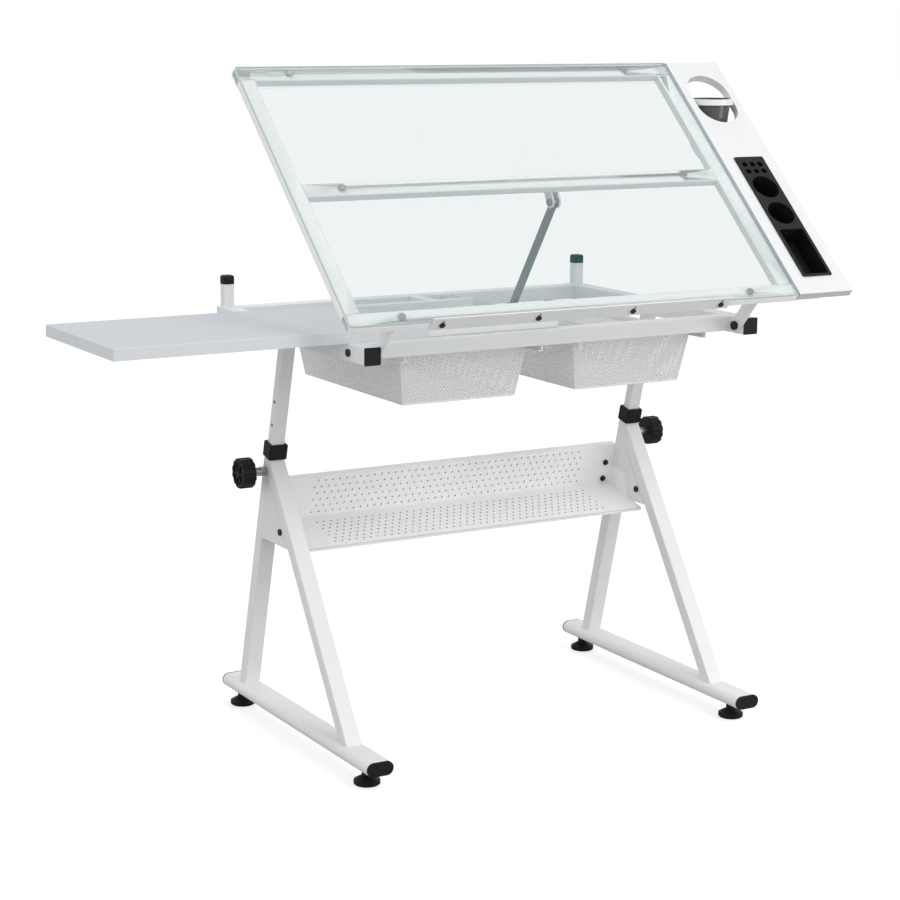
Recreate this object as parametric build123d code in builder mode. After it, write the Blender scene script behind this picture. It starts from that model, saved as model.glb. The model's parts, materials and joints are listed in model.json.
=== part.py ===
"""Drafting table with a tilting glass top, a side shelf, a side panel and two basket drawers.

Millimetres, +Z up, +X to the user's right, -Y towards the user. The origin is on the floor, under
the middle of the whole table's box. The glass stands at its drawing slope, the ledge is raised.
"""

from build123d import *
from math import asin, atan, cos, degrees, hypot, radians, sin, tan
import os

# ---------------------------------------------------------------- driving dimensions
TILT = 42.5  # slope of the glass as modelled, degrees
LEAN = 15.0  # lean of the legs from upright, towards the user as they rise, degrees

TOP_WIDTH, TOP_DEPTH, GLASS = 900.0, 588.0, 5.0
FRAME_TUBE, FRAME_HEIGHT, FRAME_WALL = 30.0, 15.0, 1.5
MIDDLE_RAIL = 300.0  # centre of the middle rail up the slope
SCREW_REACH, SCREW_HEAD, SCREW_SHANK = 350.0, 5.6, 3.0  # glass screws, each side of the middle

PANEL_WIDTH, PANEL_THICK, PANEL_GAP = 120.0, 15.0, 2.0
CUP_SLOPE, CUP_HOLE, CUP_HOLE_LENGTH = 489.0, 88.0, 125.0
CUP_RADIUS, CUP_RING, CUP_DEPTH, CUP_WALL = 40.0, 11.0, 48.0, 2.0
TRAY_WIDTH, TRAY_START, TRAY_END, TRAY_DEEP = 60.0, 41.0, 331.0, 40.0
WELL_RADIUS, PEN_RADIUS, PEN_PITCH = 27.0, 6.0, 17.5

RACK_HALF = 383.0  # side rails and legs, each side of the middle
RAIL, RAIL_WALL = 30.0, 1.5
RAIL_HEIGHT = 738.0  # middle of the side rails, and the tilt pivot, above the floor
RAIL_FRONT, RAIL_REAR = -20.0, 568.0  # rail ends, from the pivot
PIVOT_DEPTH, PIVOT_SLOPE = 94.0, 13.5  # pivot below the glass and up the slope
CROSSBAR_HEIGHT, CROSSBAR_DEPTH = 27.0, 30.0
FRONT_CROSSBAR, REAR_CROSSBAR = 20.0, 536.0  # their front faces, from the pivot
POST, POST_AT, PAD_TALL, REST_GAP = 20.0, 556.0, 16.0, 0.5

BOARD_REACH, BOARD_END = 808.0, 245.0  # the side shelf's two ends, left of the middle
BOARD_FRONT, BOARD_REAR, BOARD_THICK, BOARD_SHEET = 37.0, 349.0, 20.0, 2.0
BOARD_CORNER, BOARD_EDGE = 3.0, 1.0
ARM, ARM_REACH = 18.0, 12.0

STAY_X, STAY_SLOPE, STAY_DROP, STAY_WIDE, STAY_THICK = 72.0, 275.0, 34.0, 10.0, 11.0
TRACK_WIDE, TRACK_WALL, TRACK_HEIGHT = 26.0, 2.0, 26.0

LEG_AT_RAIL = 296.0  # leg axis at rail height, from the pivot
SLEEVE_X, SLEEVE_Y, SLEEVE_WALL = 30.0, 25.0, 1.5
TUBE_X, TUBE_Y, TUBE_END = 25.0, 20.0, -385.0
COLLAR_TOP, COLLAR_TALL = -213.0, 28.0  # along the leg, from rail height
KNOB_AT, HOLE_PITCH, FIRST_HOLE, HOLES = -268.0, 45.0, -133.0, 5
FOOT_TOP, FOOT_TALL, FOOT_WIDE = 53.0, 25.0, 50.0
FOOT_FRONT, FOOT_REAR = -44.0, 546.0  # from the pivot
GLIDE_FRONT, GLIDE_REAR = 3.0, 512.0
BRACE_FOOT, BRACE_APEX = (61.0, -689.0), (360.0, -241.0)  # brace axis ends, from the pivot
GUSSET_FOOT = -386.0  # lower edge of the gussets, from rail height

BASKET_MIDDLE, BASKET_WIDE, BASKET_DEEP, BASKET_TALL = 173.0, 265.0, 422.0, 90.5
BASKET_FRONT, BASKET_TOP = 48.0, 724.5
BASKET_SHIFT = 6.5  # the pair sits this far right of the middle
BASKET_TAPER, BASKET_WALL, BASKET_RIM, RIM_TALL = 15.0, 2.0, 6.0, 5.7
BASKET_CORNER, BASKET_FOOT_CORNER, RIM_CORNER = 14.0, 12.0, 18.0

SHELF_WALL_AT, SHELF_SHEET = 11.0, 1.5  # perforated shelf, in the leg's own directions
SHELF_TOP, SHELF_BEND, SHELF_FRONT = -296.0, -378.0, -110.0

# ---------------------------------------------------------------- derived places
C, S = cos(radians(TILT)), sin(radians(TILT))
UNDERSIDE = GLASS + FRAME_HEIGHT  # frame underside below the glass
LEDGE_HALF, LEDGE_THICK, LEDGE_GAP, LEDGE_LOW, LEDGE_TOP = 300.0, 2.0, 0.3, -22.0, 6.0
LEDGE_DROP, LEDGE_BOLTS, LEDGE_BOLT_AT = 8.0, (-280.0, -95.0, 95.0, 280.0), -10.0
FRONT_REACH = PIVOT_SLOPE * C + PIVOT_DEPTH * S  # glass front edge ahead of the pivot
EDGE_REACH = FRONT_REACH + (LEDGE_THICK + LEDGE_GAP) * C + LEDGE_TOP * S
PLUG_PROUD = 1.5
PIVOT_Y = -(RAIL_REAR + PLUG_PROUD - EDGE_REACH) / 2
MIDDLE_X = (BOARD_REACH - TOP_WIDTH / 2 - PANEL_GAP - PANEL_WIDTH) / 2
RAIL_TOP = RAIL_HEIGHT + RAIL / 2
RAIL_FLOOR = RAIL_HEIGHT - RAIL / 2
FLAT_UNDERSIDE = RAIL_HEIGHT + PIVOT_DEPTH - UNDERSIDE  # frame underside when level
GLASS_FRONT = (MIDDLE_X, PIVOT_Y - FRONT_REACH, RAIL_HEIGHT + PIVOT_DEPTH * C - PIVOT_SLOPE * S)
TOP = Plane(origin=GLASS_FRONT, x_dir=(1, 0, 0), z_dir=(0, -S, C))
PANEL_X = TOP_WIDTH / 2 + PANEL_GAP + PANEL_WIDTH / 2
PANEL_TOP_CUT = (TRAY_START + TRAY_END) / 2

SIN_LEAN, COS_LEAN, TAN_LEAN = sin(radians(LEAN)), cos(radians(LEAN)), tan(radians(LEAN))
LEG_Y = PIVOT_Y + LEG_AT_RAIL
LEG = Plane(origin=(MIDDLE_X, LEG_Y, RAIL_HEIGHT), x_dir=(1, 0, 0), z_dir=(0, -SIN_LEAN, COS_LEAN))
SIDES = (("left", -1), ("right", 1))
BORE_CLEARANCE = 0.08
FACE_GAP = 0.3


def leg_plane(sign, along=0.0):
    """Across a leg, `along` its axis from rail height; local X is world X."""
    origin = LEG.from_local_coords((sign * RACK_HALF, 0, along))
    return Plane(origin=origin, x_dir=LEG.x_dir, z_dir=LEG.z_dir)


def side_plane(x):
    """Upright plane facing +X, x from the middle; local X is +Y and local Y is +Z, from the pivot."""
    return Plane(origin=(MIDDLE_X + x, PIVOT_Y, RAIL_HEIGHT), x_dir=(0, 1, 0), z_dir=(1, 0, 0))


def slope_side(x):
    """Plane facing +X, x from the middle; local X runs up the slope, local Y out of the glass."""
    return Plane(origin=TOP.from_local_coords((x, 0, 0)), x_dir=(0, C, S), z_dir=(1, 0, 0))


def leg_side(x):
    """Plane facing +X, x from the middle; local X is rearward across the leg, local Y up the leg."""
    return Plane(origin=LEG.from_local_coords((x, 0, 0)), x_dir=LEG.y_dir, z_dir=(1, 0, 0))


def save(built, label):
    """Names a finished piece and writes it."""
    built.part.label = label
    export_step(built.part, f"parts/{label}.step")


def tube(label, plane, width, height, wall, length, cuts=(), bores=()):
    """Rectangular tube along the plane's normal, trimmed by cuts and drilled by bores.

    Each cut is (plane, the side to keep); each bore is (plane, radius, depth, points).
    """
    with BuildPart() as built:
        with BuildSketch(plane):
            RectangleRounded(width, height, 2.0)
            Rectangle(width - 2 * wall, height - 2 * wall, mode=Mode.SUBTRACT)
        extrude(amount=length)
        for cut, keep in cuts:
            split(bisect_by=cut, keep=keep)
        for bore, radius, depth, points in bores:
            with BuildSketch(bore):
                with Locations(*points):
                    Circle(radius)
            extrude(amount=-depth, mode=Mode.SUBTRACT)
    save(built, label)


def turned(plane, steps):
    """One stack of round steps from the plane along its normal; each step is (radius, start, end)."""
    with BuildPart(mode=Mode.PRIVATE) as built:
        for radius, start, end in steps:
            with BuildSketch(plane.offset(start)):
                Circle(radius)
            extrude(amount=end - start)
    return built.part


def save_group(pieces, label):
    """Writes several identical fasteners or caps as one node of separate solids."""
    group = Compound(children=list(pieces), label=label)
    export_step(group, f"parts/{label}.step")


os.makedirs("parts", exist_ok=True)

# ---------------------------------------------------------------- base: feet, legs and braces
FOOT_MIDDLE = FOOT_TOP - FOOT_TALL / 2
SLEEVE_TOP = COLLAR_TOP - 3.0
SLEEVE_LENGTH = 720.0
KNOB_Y, KNOB_Z = LEG_Y - KNOB_AT * SIN_LEAN, RAIL_HEIGHT + KNOB_AT * COS_LEAN
STUD_RADIUS, NUT, KNOB_GAP, KNOB_THICK, KNOB_RADIUS = 4.0, 12.0, 29.0, 25.0, 27.5
GLIDE_STUD = 4.0
GUSSET_SHEET, GUSSET_BOLT, GUSSET_HEAD = 2.0, -360.0, 6.0
BOLT_HEAD_TALL, SHELF_HEAD = 3.0, 5.5
FLOOR_CUT = Plane.XY.offset(FOOT_TOP)
nuts, foot_caps, bolts = [], [], []

for name, sign in SIDES:
    x = MIDDLE_X + sign * RACK_HALF
    glides = [(PIVOT_Y + GLIDE_FRONT, "front"), (PIVOT_Y + GLIDE_REAR, "rear")]
    with BuildPart() as foot_rail:
        foot_front = Plane(origin=(x, PIVOT_Y + FOOT_FRONT, FOOT_MIDDLE), x_dir=(1, 0, 0), z_dir=(0, -1, 0))
        with BuildSketch(foot_front):
            SlotOverall(FOOT_WIDE, FOOT_TALL)
            SlotOverall(FOOT_WIDE - 3.0, FOOT_TALL - 3.0, mode=Mode.SUBTRACT)
        extrude(amount=FOOT_FRONT - FOOT_REAR)
        with Locations(*[(x, y, FOOT_TOP - FOOT_TALL) for y, _ in glides]):
            Cylinder(GLIDE_STUD + BORE_CLEARANCE, 8.0, mode=Mode.SUBTRACT)
    save(foot_rail, f"foot_rail_{name}")

    outer_face = Plane(origin=(x + sign * SLEEVE_X / 2, KNOB_Y, KNOB_Z), x_dir=(0, 1, 0), z_dir=(sign, 0, 0))
    bore = (outer_face, STUD_RADIUS + BORE_CLEARANCE, 5.0, [(0, 0)])
    low = leg_plane(sign, SLEEVE_TOP - SLEEVE_LENGTH)
    tube(f"leg_sleeve_{name}", low, SLEEVE_X, SLEEVE_Y, SLEEVE_WALL, SLEEVE_LENGTH,
         cuts=[(FLOOR_CUT, Keep.TOP)], bores=[bore])

    run = (BRACE_APEX[0] - BRACE_FOOT[0], BRACE_APEX[1] - BRACE_FOOT[1])
    brace_foot = (x, PIVOT_Y + BRACE_FOOT[0], RAIL_HEIGHT + BRACE_FOOT[1])
    brace_plane = Plane(origin=brace_foot, x_dir=(1, 0, 0), z_dir=(0, run[0], run[1]))
    front = leg_plane(sign)
    front_middle = front.from_local_coords((0, -SLEEVE_Y / 2, 0))
    sleeve_front = Plane(origin=front_middle, x_dir=(1, 0, 0), z_dir=front.y_dir)
    tube(f"leg_brace_{name}", brace_plane.offset(-40.0), SLEEVE_X, SLEEVE_Y, SLEEVE_WALL, hypot(*run) + 70.0,
         cuts=[(FLOOR_CUT, Keep.TOP), (sleeve_front, Keep.BOTTOM)])

    # Gusset: two plates that close the narrow wedge between the brace and the sleeve.
    brace_back = SLEEVE_Y / 2 * hypot(*run) / run[1]
    sleeve_set = SLEEVE_Y / 2 / COS_LEAN

    def brace_rear(z):
        return BRACE_FOOT[0] + (z - BRACE_FOOT[1]) * run[0] / run[1] + brace_back

    def sleeve_fore(z):
        return LEG_AT_RAIL - z * TAN_LEAN - sleeve_set

    apex = (sleeve_fore(0) - brace_rear(0)) / (run[0] / run[1] + TAN_LEAN)
    with BuildPart() as gusset:
        for plate in (-SLEEVE_X / 2, SLEEVE_X / 2 - GUSSET_SHEET):
            with BuildSketch(side_plane(sign * RACK_HALF + plate)):
                with BuildLine():
                    Polyline((brace_rear(GUSSET_FOOT), GUSSET_FOOT), (sleeve_fore(GUSSET_FOOT), GUSSET_FOOT),
                             (sleeve_fore(apex), apex), close=True)
                make_face()
            extrude(amount=GUSSET_SHEET)
    save(gusset, f"gusset_{name}")
    outer_side = side_plane(sign * (RACK_HALF + SLEEVE_X / 2))
    for inner in (0, 1):
        bolt_place = (brace_rear(GUSSET_BOLT) + 10.0, GUSSET_BOLT, -inner * sign * SLEEVE_X)
        bolt_way = (sign * (1 - 2 * inner), 0, 0)
        seat = Plane(origin=outer_side.from_local_coords(bolt_place), x_dir=(0, 1, 0), z_dir=bolt_way)
        bolts.append(turned(seat, [(GUSSET_HEAD, 0.0, BOLT_HEAD_TALL)]))

    with BuildPart() as collar:
        with BuildSketch(leg_plane(sign, COLLAR_TOP)):
            RectangleRounded(SLEEVE_X + 5, SLEEVE_Y + 6, 3.0)
        extrude(amount=-COLLAR_TALL)
        chamfer(collar.faces().sort_by(Axis(LEG.origin, LEG.z_dir))[-1].edges(), 1.5)
        with BuildSketch(leg_plane(sign, SLEEVE_TOP)):
            Rectangle(SLEEVE_X, SLEEVE_Y)
        extrude(amount=-COLLAR_TALL, mode=Mode.SUBTRACT)
        with BuildSketch(leg_plane(sign, COLLAR_TOP)):
            Rectangle(TUBE_X + 2 * FACE_GAP, TUBE_Y + 2 * FACE_GAP)
        extrude(amount=-COLLAR_TALL, mode=Mode.SUBTRACT)
    save(collar, f"leg_collar_{name}")

    # Clamp knob: a welded nut on the sleeve, a stud through it, and a fluted knob.
    with BuildPart() as nut:
        with BuildSketch(outer_face):
            RegularPolygon(9.0, 6)
            Circle(STUD_RADIUS + BORE_CLEARANCE, mode=Mode.SUBTRACT)
        extrude(amount=NUT)
    nuts.append(nut.part)

    reach = TUBE_X / 2 - SLEEVE_X / 2 + FACE_GAP
    with BuildPart() as stud:
        with BuildSketch(outer_face.offset(reach)):
            Circle(STUD_RADIUS)
        extrude(amount=KNOB_GAP - reach)
        with BuildSketch(outer_face.offset(NUT + FACE_GAP)):
            Circle(8.0)
        extrude(amount=KNOB_GAP - NUT - FACE_GAP)
    save(stud, f"knob_stud_{name}")

    with BuildPart() as knob:
        with BuildSketch(outer_face.offset(KNOB_GAP)):
            Circle(KNOB_RADIUS)
            with PolarLocations(KNOB_RADIUS + 2.0, 12):
                Circle(4.0, mode=Mode.SUBTRACT)
        extrude(amount=KNOB_THICK)
        chamfer(knob.faces().filter_by(Axis.X).edges(), 1.2)
        with BuildSketch(outer_face.offset(KNOB_GAP + KNOB_THICK)):
            Circle(KNOB_RADIUS - 7.0)
            with PolarLocations(KNOB_RADIUS / 2 - 2.5, 6):
                Rectangle(KNOB_RADIUS - 9.0, 2.4, mode=Mode.SUBTRACT)
            Circle(6.0, mode=Mode.SUBTRACT)
        extrude(amount=-2.0, mode=Mode.SUBTRACT)
    save(knob, f"clamp_knob_{name}")

    for y, end in glides:
        with BuildPart() as glide:
            with BuildSketch(Plane(origin=(x, y, 0), x_dir=(1, 0, 0), z_dir=(0, -1, 0))):
                with BuildLine():
                    Polyline((0, 0), (21, 0), (23, 2), (23, 8), (13, 14), (9, 16), (9, 27.5),
                             (GLIDE_STUD, 27.5), (GLIDE_STUD, 38), (0, 38), close=True)
                make_face()
            revolve(axis=Axis((x, y, 0), (0, 0, 1)))
        save(glide, f"glide_{end}_{name}")

    for y, way in ((PIVOT_Y + FOOT_FRONT, -1), (PIVOT_Y + FOOT_REAR, 1)):
        end_plane = Plane(origin=(x, y, FOOT_MIDDLE), x_dir=(1, 0, 0), z_dir=(0, way, 0))
        with BuildPart() as foot_cap:
            with BuildSketch(end_plane.offset(-12)):
                SlotOverall(FOOT_WIDE - 3.0, FOOT_TALL - 3.0)
            extrude(amount=12)
            with BuildSketch(end_plane):
                SlotOverall(FOOT_WIDE, FOOT_TALL)
            extrude(amount=3)
        foot_caps.append(foot_cap.part)

save_group(nuts, "knob_nuts")
save_group(foot_caps, "foot_rail_caps")

# ---------------------------------------------------------------- perforated shelf between the legs
SHELF_HALF = RACK_HALF - SLEEVE_X / 2
SHELF_BOLT_X, SHELF_BOLT_TOP, SHELF_BOLT_LOW, TAB_WIDE, TAB_TALL = 351.0, -334.0, -369.0, 70.0, 40.0
with BuildPart() as shelf:
    with BuildSketch(leg_side(-SHELF_HALF)):
        with BuildLine():
            Polyline((SHELF_WALL_AT + 12, SHELF_TOP), (SHELF_WALL_AT, SHELF_TOP), (SHELF_WALL_AT, SHELF_BEND),
                     (SHELF_FRONT, SHELF_BEND), (SHELF_FRONT, SHELF_BEND - 6))
            offset(amount=SHELF_SHEET, side=Side.LEFT)
        make_face()
    extrude(amount=2 * SHELF_HALF)
    for start in (-SHELF_HALF, SHELF_HALF - SHELF_SHEET):
        with BuildSketch(leg_side(start)):
            with Locations((SHELF_WALL_AT - TAB_WIDE / 2, SHELF_BEND + TAB_TALL / 2)):
                Rectangle(TAB_WIDE, TAB_TALL)
        extrude(amount=SHELF_SHEET)
save(shelf, "perforated_shelf")
wall_middle = LEG.from_local_coords((0, SHELF_WALL_AT - SHELF_SHEET, 0))
wall_face = Plane(origin=wall_middle, x_dir=(1, 0, 0), z_dir=-LEG.y_dir)
for sign in (-1, 1):
    for along in (SHELF_BOLT_TOP, SHELF_BOLT_LOW):
        bolt_place = wall_face.from_local_coords((sign * SHELF_BOLT_X, along, 0))
        seat = Plane(origin=bolt_place, z_dir=wall_face.z_dir)
        bolts.append(turned(seat, [(SHELF_HEAD, 0.0, BOLT_HEAD_TALL)]))
save_group(bolts, "base_bolts")

# ---------------------------------------------------------------- rack: rails, crossbars, posts, inner legs
plugs, pads, rail_bolts = [], [], []
CROSSBAR_MIDDLE = RAIL_TOP - CROSSBAR_HEIGHT / 2
PIVOT_BOLT, PIVOT_HEAD, STRAP = 4.0, 8.0, 3.0
RAIL_HEAD, RAIL_HEAD_TALL, LOCK_HOLE = 6.5, 3.5, 3.5
RACK_INNER = RACK_HALF - RAIL / 2
for name, sign in SIDES:
    x = MIDDLE_X + sign * RACK_HALF
    rail_front = Plane(origin=(x, PIVOT_Y + RAIL_FRONT, RAIL_HEIGHT), x_dir=(1, 0, 0), z_dir=(0, 1, 0))
    inner_place = (x - sign * RAIL / 2, PIVOT_Y, RAIL_HEIGHT)
    inner_face = Plane(origin=inner_place, x_dir=(0, 1, 0), z_dir=(-sign, 0, 0))
    tube(f"side_rail_{name}", rail_front, RAIL, RAIL, RAIL_WALL, RAIL_REAR - RAIL_FRONT,
         bores=[(inner_face, PIVOT_BOLT + BORE_CLEARANCE, 5.0, [(0, 0)])])
    for y, way in ((PIVOT_Y + RAIL_FRONT, -1), (PIVOT_Y + RAIL_REAR, 1)):
        end_plane = Plane(origin=(x, y, RAIL_HEIGHT), x_dir=(1, 0, 0), z_dir=(0, way, 0))
        with BuildPart() as plug:
            with BuildSketch(end_plane.offset(-10)):
                Rectangle(RAIL - 2 * RAIL_WALL, RAIL - 2 * RAIL_WALL)
            extrude(amount=10)
            with BuildSketch(end_plane):
                RectangleRounded(RAIL, RAIL, 2.0)
            extrude(amount=PLUG_PROUD)
        plugs.append(plug.part)

    post_top = FLAT_UNDERSIDE - REST_GAP - PAD_TALL
    post_plane = Plane(origin=(x, PIVOT_Y + POST_AT, RAIL_TOP), x_dir=(1, 0, 0), z_dir=(0, 0, 1))
    tube(f"rest_post_{name}", post_plane, POST, POST, RAIL_WALL, post_top - RAIL_TOP)
    with BuildPart() as pad:
        with BuildSketch(post_plane.offset(post_top - RAIL_TOP)):
            RectangleRounded(POST + 2, POST + 2, 5.0)
        extrude(amount=PAD_TALL)
        fillet(pad.faces().sort_by(Axis.Z)[-1].edges(), 4.0)
    pads.append(pad.part)

    holes = [(0, FIRST_HOLE - HOLE_PITCH * k) for k in range(HOLES)]
    tube_face = Plane(origin=LEG.from_local_coords((sign * (RACK_HALF + TUBE_X / 2), 0, 0)), x_dir=LEG.y_dir,
                      z_dir=(sign, 0, 0))
    drilled = [(0, along if sign > 0 else -along) for _, along in holes]
    tube(f"inner_leg_{name}", leg_plane(sign, TUBE_END), TUBE_X, TUBE_Y, RAIL_WALL, -TUBE_END,
         cuts=[(Plane.XY.offset(RAIL_FLOOR), Keep.BOTTOM)], bores=[(tube_face, LOCK_HOLE, 4.0, drilled)])

    # Pivot bolt: a head inboard of the strap and a shank into the rail. Crossbar bolt: outboard.
    pivot_seat = Plane(origin=inner_face.origin, x_dir=(0, 1, 0), z_dir=(-sign, 0, 0))
    head = STRAP + 2 * FACE_GAP
    rail_bolts.append(turned(pivot_seat, [(PIVOT_BOLT, -4.0, head), (PIVOT_HEAD, head, head + 5.0)]))
    for bolt_at in (FRONT_CROSSBAR + CROSSBAR_DEPTH / 2, LEG_AT_RAIL):
        bolt_place = (x + sign * RAIL / 2, PIVOT_Y + bolt_at, RAIL_HEIGHT)
        outer = Plane(origin=bolt_place, x_dir=(0, 1, 0), z_dir=(sign, 0, 0))
        rail_bolts.append(turned(outer, [(RAIL_HEAD, 0.0, RAIL_HEAD_TALL)]))

save_group(plugs, "rail_plugs")
save_group(pads, "rest_pads")
save_group(rail_bolts, "rail_bolts")

for label, y in (("front_crossbar", FRONT_CROSSBAR), ("rear_crossbar", REAR_CROSSBAR)):
    start = Plane(origin=(MIDDLE_X - RACK_INNER, PIVOT_Y + y + CROSSBAR_DEPTH / 2, CROSSBAR_MIDDLE),
                  x_dir=(0, 1, 0), z_dir=(1, 0, 0))
    tube(label, start, CROSSBAR_DEPTH, CROSSBAR_HEIGHT, RAIL_WALL, 2 * RACK_INNER)

INSIDE_FRONT = PIVOT_Y + FRONT_CROSSBAR + CROSSBAR_DEPTH
INSIDE_REAR = PIVOT_Y + REAR_CROSSBAR
beam_start = Plane(origin=(MIDDLE_X, INSIDE_FRONT, CROSSBAR_MIDDLE), x_dir=(1, 0, 0), z_dir=(0, 1, 0))
tube("centre_beam", beam_start, 24.0, CROSSBAR_HEIGHT, RAIL_WALL, INSIDE_REAR - INSIDE_FRONT)

with BuildPart() as stay_track:
    track_end = (MIDDLE_X + STAY_X, INSIDE_FRONT, RAIL_HEIGHT)
    track_start = Plane(origin=track_end, x_dir=(-1, 0, 0), z_dir=(0, 1, 0))
    with BuildSketch(track_start):
        Rectangle(TRACK_WIDE, TRACK_HEIGHT)
        with Locations((0, TRACK_WALL)):
            Rectangle(TRACK_WIDE - 2 * TRACK_WALL, TRACK_HEIGHT, mode=Mode.SUBTRACT)
    extrude(amount=INSIDE_REAR - INSIDE_FRONT)
save(stay_track, "stay_track")

# ---------------------------------------------------------------- side shelf: folded board and its two arms
with BuildPart() as side_board:
    board_middle = (MIDDLE_X - (BOARD_REACH + BOARD_END) / 2, PIVOT_Y + (BOARD_FRONT + BOARD_REAR) / 2)
    with BuildSketch(Plane.XY.offset(RAIL_TOP)):
        with Locations(board_middle):
            Rectangle(BOARD_REACH - BOARD_END, BOARD_REAR - BOARD_FRONT)
    extrude(amount=BOARD_THICK)
    upright = side_board.edges().filter_by(Axis.Z).group_by(Axis.X)[0]
    fillet(upright, BOARD_CORNER)
    fillet(side_board.faces().sort_by(Axis.Z)[-1].edges(), BOARD_EDGE)
    with BuildSketch(Plane.XY.offset(RAIL_TOP)):
        with Locations((board_middle[0] + BOARD_SHEET, board_middle[1])):
            Rectangle(BOARD_REACH - BOARD_END, BOARD_REAR - BOARD_FRONT - 2 * BOARD_SHEET)
    extrude(amount=BOARD_THICK - BOARD_SHEET, mode=Mode.SUBTRACT)
save(side_board, "side_board")

ARM_START = MIDDLE_X - BOARD_REACH + BOARD_SHEET
arm_rows = {"board_front_arm": BOARD_FRONT + BOARD_SHEET, "board_rear_arm": BOARD_REAR - BOARD_SHEET - ARM}
for label, y in arm_rows.items():
    arm_end = (ARM_START, PIVOT_Y + y + ARM / 2, RAIL_TOP + ARM / 2)
    arm_start = Plane(origin=arm_end, x_dir=(0, 1, 0), z_dir=(1, 0, 0))
    tube(label, arm_start, ARM, ARM, RAIL_WALL, MIDDLE_X + ARM_REACH - ARM_START)

# ---------------------------------------------------------------- basket drawers and their runners
LIP, RUNNER, RUNNER_GAP = 5.5, 2.0, 1.0
LIP_TOP = BASKET_TOP - RIM_TALL - FACE_GAP
RUNNER_TOP = RAIL_TOP - CROSSBAR_HEIGHT
for name, sign in SIDES:
    middle = MIDDLE_X + BASKET_SHIFT + sign * BASKET_MIDDLE
    centre = (middle, PIVOT_Y + BASKET_FRONT + BASKET_DEEP / 2)
    wide, deep = BASKET_WIDE - 2 * BASKET_RIM, BASKET_DEEP - 2 * BASKET_RIM
    with BuildPart() as basket:
        for inset, lift in ((0.0, 0.0), (BASKET_WALL, BASKET_WALL)):
            mode = Mode.SUBTRACT if inset else Mode.ADD
            foot_inset = BASKET_TAPER + inset
            with BuildSketch(Plane.XY.offset(BASKET_TOP - BASKET_TALL + lift)):
                with Locations(centre):
                    RectangleRounded(wide - 2 * foot_inset, deep - 2 * foot_inset, BASKET_FOOT_CORNER)
            with BuildSketch(Plane.XY.offset(BASKET_TOP)):
                with Locations(centre):
                    RectangleRounded(wide - 2 * inset, deep - 2 * inset, BASKET_CORNER)
            loft(mode=mode)
        with BuildSketch(Plane.XY.offset(BASKET_TOP - RIM_TALL)):
            with Locations(centre):
                RectangleRounded(BASKET_WIDE, BASKET_DEEP, RIM_CORNER)
                RectangleRounded(wide - 3.0, deep - 3.0, BASKET_CORNER - 1.0, mode=Mode.SUBTRACT)
        extrude(amount=RIM_TALL)
    save(basket, f"basket_{name}")

    with BuildPart() as runners:
        for side in (-1, 1):
            edge = middle + side * (BASKET_WIDE / 2 + RUNNER_GAP)
            run_start = (edge, PIVOT_Y + FRONT_CROSSBAR, 0)
            run_plane = Plane(origin=run_start, x_dir=(side, 0, 0), z_dir=(0, -side, 0))
            with BuildSketch(run_plane):
                with BuildLine():
                    Polyline((0, LIP_TOP), (-LIP, LIP_TOP), (-LIP, LIP_TOP - RUNNER),
                             (RUNNER, LIP_TOP - RUNNER), (RUNNER, RUNNER_TOP), (0, RUNNER_TOP), close=True)
                make_face()
            extrude(amount=-side * (REAR_CROSSBAR + CROSSBAR_DEPTH - FRONT_CROSSBAR))
    save(runners, f"basket_runners_{name}")

# ---------------------------------------------------------------- top: glass, frame, straps
screw_rows = (15.0, MIDDLE_RAIL, TOP_DEPTH - 15.0)
screw_points = [(side * SCREW_REACH, row) for side in (-1, 1) for row in screw_rows]
SCREW_ROOM, SCREW_SUNK = 0.7, 3.0  # the heads lie flush in counterbores
with BuildPart() as glass_top:
    with BuildSketch(TOP.offset(-GLASS)):
        with Locations((0, TOP_DEPTH / 2)):
            RectangleRounded(TOP_WIDTH, TOP_DEPTH, 4.0)
        with Locations(*screw_points):
            Circle(SCREW_SHANK + 0.5, mode=Mode.SUBTRACT)
    extrude(amount=GLASS)
    with BuildSketch(TOP):
        with Locations(*screw_points):
            Circle(SCREW_HEAD + SCREW_ROOM)
    extrude(amount=-SCREW_SUNK, mode=Mode.SUBTRACT)
    chamfer(glass_top.faces().sort_by(Axis(TOP.origin, TOP.z_dir))[-1].outer_wire().edges(), 0.8)
save(glass_top, "glass_top")
glass_screws = []
for px, py in screw_points:
    screw_seat = Plane(origin=TOP.from_local_coords((px, py, 0)), z_dir=TOP.z_dir)
    screw_steps = [(SCREW_HEAD, -SCREW_SUNK, -0.1), (SCREW_SHANK, -GLASS - FRAME_WALL, -1.0)]
    glass_screws.append(turned(screw_seat, screw_steps))
save_group(glass_screws, "glass_screws")

SIDE_LENGTH = TOP_DEPTH - 2 * FRAME_TUBE
FRAME_DEPTH = UNDERSIDE - FRAME_HEIGHT / 2
frame_rails = {
    "frame_front": (-TOP_WIDTH / 2, FRAME_TUBE / 2, (1, 0, 0), TOP_WIDTH),
    "frame_rear": (-TOP_WIDTH / 2, TOP_DEPTH - FRAME_TUBE / 2, (1, 0, 0), TOP_WIDTH),
    "frame_middle": (-TOP_WIDTH / 2 + FRAME_TUBE, MIDDLE_RAIL, (1, 0, 0), TOP_WIDTH - 2 * FRAME_TUBE),
    "frame_left": (-TOP_WIDTH / 2 + FRAME_TUBE / 2, FRAME_TUBE, (0, C, S), SIDE_LENGTH),
    "frame_right": (TOP_WIDTH / 2 - FRAME_TUBE / 2, FRAME_TUBE, (0, C, S), SIDE_LENGTH),
}
screw_bore = (TOP.offset(-GLASS), SCREW_SHANK + BORE_CLEARANCE, 4.0, screw_points)
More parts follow.
